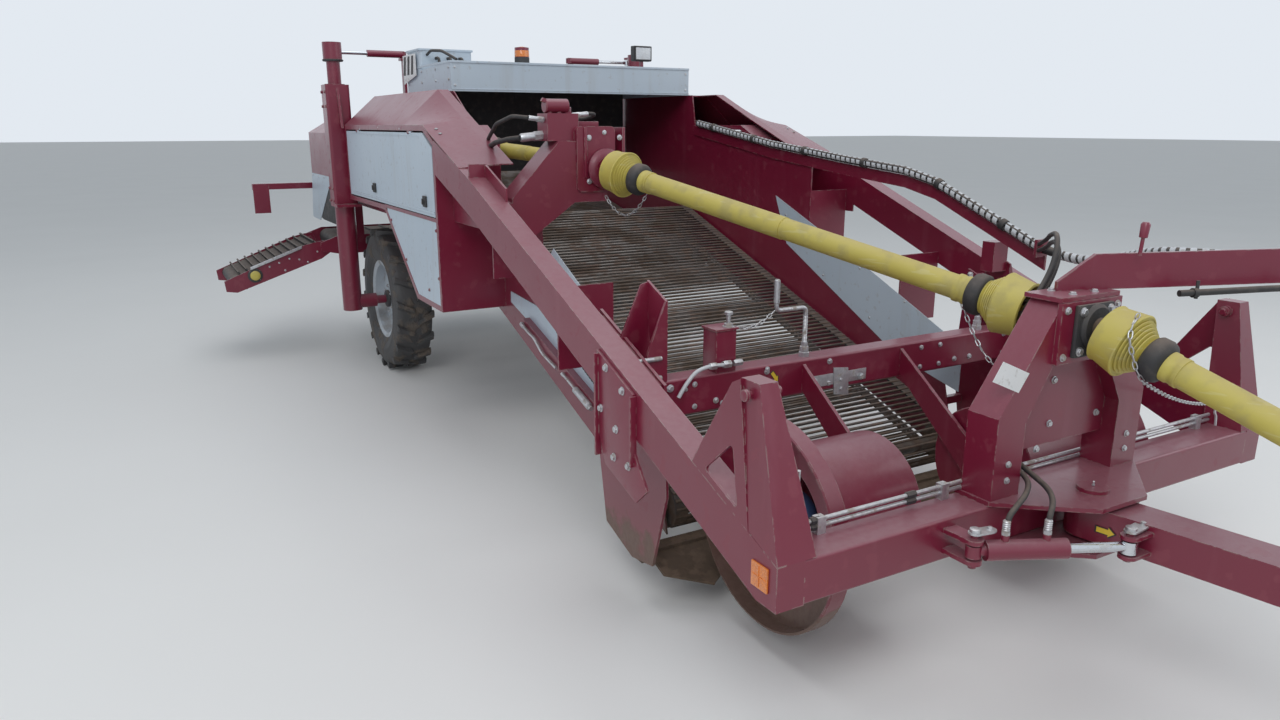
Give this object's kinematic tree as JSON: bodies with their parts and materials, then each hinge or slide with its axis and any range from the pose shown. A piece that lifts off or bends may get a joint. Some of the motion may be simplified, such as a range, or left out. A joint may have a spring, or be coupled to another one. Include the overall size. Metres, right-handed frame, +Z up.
{
  "type": "trailed potato windrower",
  "caption": "Towed root crop digger with side frames, rod webs, steered wheel legs, drive shafts and a side discharge conveyor.",
  "frame": {"origin": "centre of the drawbar's hitch eye", "axes": "+Z up along the hitch eye's bore, +Y from the drawbar back along the machine, +X to the machine's left"},
  "size_m": [3.7483, 8.2947, 2.42],
  "materials": {
    "frame_red": "semi-gloss crimson paint",
    "tyre": "dusty black rubber",
    "rim_paint": "pale grey paint",
    "panel_grey": "pale blue-grey powder coat",
    "guard_yellow": "yellow moulded guard",
    "steel": "zinc plated and bare steel",
    "web_steel": "worn steel rods",
    "black_rubber": "black rubber sheet",
    "bearing_black": "dark painted casting",
    "lamp_plastic": "lamp lens"
  },
  "bodies": {
    "chassis": {"axle_beam": "frame_red", "beam_pipes": "steel", "channel_uprights": "frame_red", "corner_towers": "frame_red", "cross_conveyor_belt": "black_rubber", "cross_conveyor_frame": "frame_red", "depth_cranks": "steel", "digging_share": "steel", "digging_web": "web_steel", "drive_shaft_front": "guard_yellow", "drive_shaft_middle": "guard_yellow", "drive_shaft_side": "guard_yellow", "fixed_panels": "panel_grey", "front_beam": "frame_red", "front_covers": "frame_red", "gearbox": "frame_red", "gearbox_arm": "frame_red", "hood": "panel_grey", "hood_curtain": "black_rubber", "hose_bundle": "black_rubber", "hose_carriers": "frame_red", "hose_span": "black_rubber", "lamps": "lamp_plastic", "pto_pedestal": "frame_red", "ram_hose_front": "black_rubber", "ram_hose_rear": "black_rubber", "rear_frame": "frame_red", "rear_housings": "frame_red", "rear_web": "web_steel", "roller_arms": "frame_red", "shaft_bearing": "bearing_black", "side_beams": "frame_red", "side_housing_left": "frame_red", "side_housing_right": "frame_red", "steer_barrels": "frame_red", "tool_beam": "frame_red", "trough_wall_left": "frame_red", "trough_wall_right": "frame_red", "valve_box": "panel_grey", "web_rollers": "steel", "web_side_plates": "frame_red"},
    "drawbar": {"drawbar": "frame_red"},
    "drawbar_ram_barrel": {"drawbar_ram_barrel": "frame_red"},
    "drawbar_ram_rod": {"drawbar_ram_rod": "steel"},
    "jack_leg": {"jack_leg": "frame_red"},
    "roller_right": {"depth_roller_right": "frame_red"},
    "roller_left": {"depth_roller_left": "frame_red"},
    "door_right": {"side_door_right": "panel_grey"},
    "door_left": {"side_door_left": "panel_grey"},
    "leg_right": {"wheel_leg_right": "frame_red"},
    "leg_left": {"wheel_leg_left": "frame_red"},
    "wheel_right": {"tyre_right": "tyre", "wheel_rim_right": "rim_paint"},
    "wheel_left": {"tyre_left": "tyre", "wheel_rim_left": "rim_paint"},
    "steer_rod_right": {"steer_rod_right": "steel"},
    "steer_rod_left": {"steer_rod_left": "steel"},
    "discharge": {"discharge_frame": "frame_red", "discharge_web": "web_steel"}
  },
  "joints": [
    {"name": "drawbar_swing", "type": "hinge", "parent": "chassis", "child": "drawbar", "pos_m": [-0.21901, 1.38276, 0], "axis": [0, 0, 1], "range_deg": [-34, 16]},
    {"name": "drawbar_ram_pivot", "type": "hinge", "parent": "chassis", "child": "drawbar_ram_barrel", "pos_m": [-0.76901, 1.38776, 0], "axis": [0, 0, 1], "range_deg": [-3, 4]},
    {"name": "drawbar_ram_slide", "type": "slide", "parent": "drawbar_ram_barrel", "child": "drawbar_ram_rod", "axis": [0.8977, -0.4406, 0], "range_m": [-0.125, 0.06]},
    {"name": "jack_slide", "type": "slide", "parent": "drawbar", "child": "jack_leg", "axis": [0, 0, 1], "range_m": [0, 0.28]},
    {"name": "roller_spin_right", "type": "hinge", "parent": "chassis", "child": "roller_right", "pos_m": [-0.98401, 2.06776, -0.122], "axis": [1, 0, 0], "continuous": true},
    {"name": "roller_spin_left", "type": "hinge", "parent": "chassis", "child": "roller_left", "pos_m": [0.54599, 2.06776, -0.122], "axis": [1, 0, 0], "continuous": true},
    {"name": "door_swing_right", "type": "hinge", "parent": "chassis", "child": "door_right", "pos_m": [-1.43801, 5.68276, 1.21], "axis": [0, 1, 0], "range_deg": [0, 95]},
    {"name": "door_swing_left", "type": "hinge", "parent": "chassis", "child": "door_left", "pos_m": [0.99999, 5.68276, 1.21], "axis": [0, -1, 0], "range_deg": [0, 95]},
    {"name": "leg_steer_right", "type": "hinge", "parent": "chassis", "child": "leg_right", "pos_m": [-1.45901, 6.68276, -0.055], "axis": [0, 0, 1], "range_deg": [-12, 12]},
    {"name": "leg_steer_left", "type": "hinge", "parent": "chassis", "child": "leg_left", "pos_m": [1.02099, 6.68276, -0.055], "axis": [0, 0, 1], "range_deg": [-12, 12]},
    {"name": "wheel_spin_right", "type": "hinge", "parent": "leg_right", "child": "wheel_right", "pos_m": [-1.11901, 6.68276, -0.055], "axis": [1, 0, 0], "continuous": true},
    {"name": "wheel_spin_left", "type": "hinge", "parent": "leg_left", "child": "wheel_left", "pos_m": [0.68099, 6.68276, -0.055], "axis": [1, 0, 0], "continuous": true},
    {"name": "steer_rod_slide_right", "type": "slide", "parent": "chassis", "child": "steer_rod_right", "axis": [1, 0, 0], "range_m": [-0.033, 0.033]},
    {"name": "steer_rod_slide_left", "type": "slide", "parent": "chassis", "child": "steer_rod_left", "axis": [1, 0, 0], "range_m": [-0.033, 0.033]},
    {"name": "discharge_tilt", "type": "hinge", "parent": "chassis", "child": "discharge", "pos_m": [-1.49901, 7.36276, 0.29], "axis": [0, 1, 0], "range_deg": [-10, 95]}
  ],
  "couplings": [
    {"joint": "drawbar_ram_pivot", "follows": "drawbar_swing", "ratio": -0.08},
    {"joint": "drawbar_ram_slide", "follows": "drawbar_swing", "m_per_rad": 0.2034},
    {"joint": "steer_rod_slide_right", "follows": "leg_steer_right", "m_per_rad": -0.14891},
    {"joint": "steer_rod_slide_left", "follows": "leg_steer_left", "m_per_rad": -0.14891}
  ]
}
